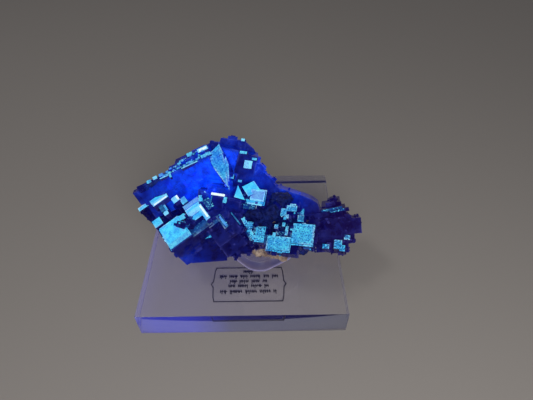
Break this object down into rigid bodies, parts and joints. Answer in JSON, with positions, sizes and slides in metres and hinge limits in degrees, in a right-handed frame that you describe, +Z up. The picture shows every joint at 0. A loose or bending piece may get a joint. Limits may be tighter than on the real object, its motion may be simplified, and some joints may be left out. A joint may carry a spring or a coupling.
{
  "type": "fluorite specimen",
  "caption": "Cluster of purple-blue fluorite cubes with black sphalerite on tan calcite, leaning on a small clear riser on a square acrylic display block.",
  "frame": {"origin": "centre of the acrylic block's underside", "axes": "+Z up, the showing side faces -Y, +X to the right as seen from the front"},
  "size_m": [0.1167, 0.1, 0.0661],
  "materials": {
    "acrylic": "polished clear acrylic",
    "label": "matte printed",
    "fluorite": "glossy crystal faces, some etched",
    "sphalerite": "resinous",
    "calcite": "rough"
  },
  "bodies": {
    "root": {"acrylic_base": "acrylic", "acrylic_riser": "acrylic", "base_label": "label", "fluorite": "fluorite", "sphalerite": "sphalerite", "calcite_matrix": "calcite"}
  },
  "joints": []
}
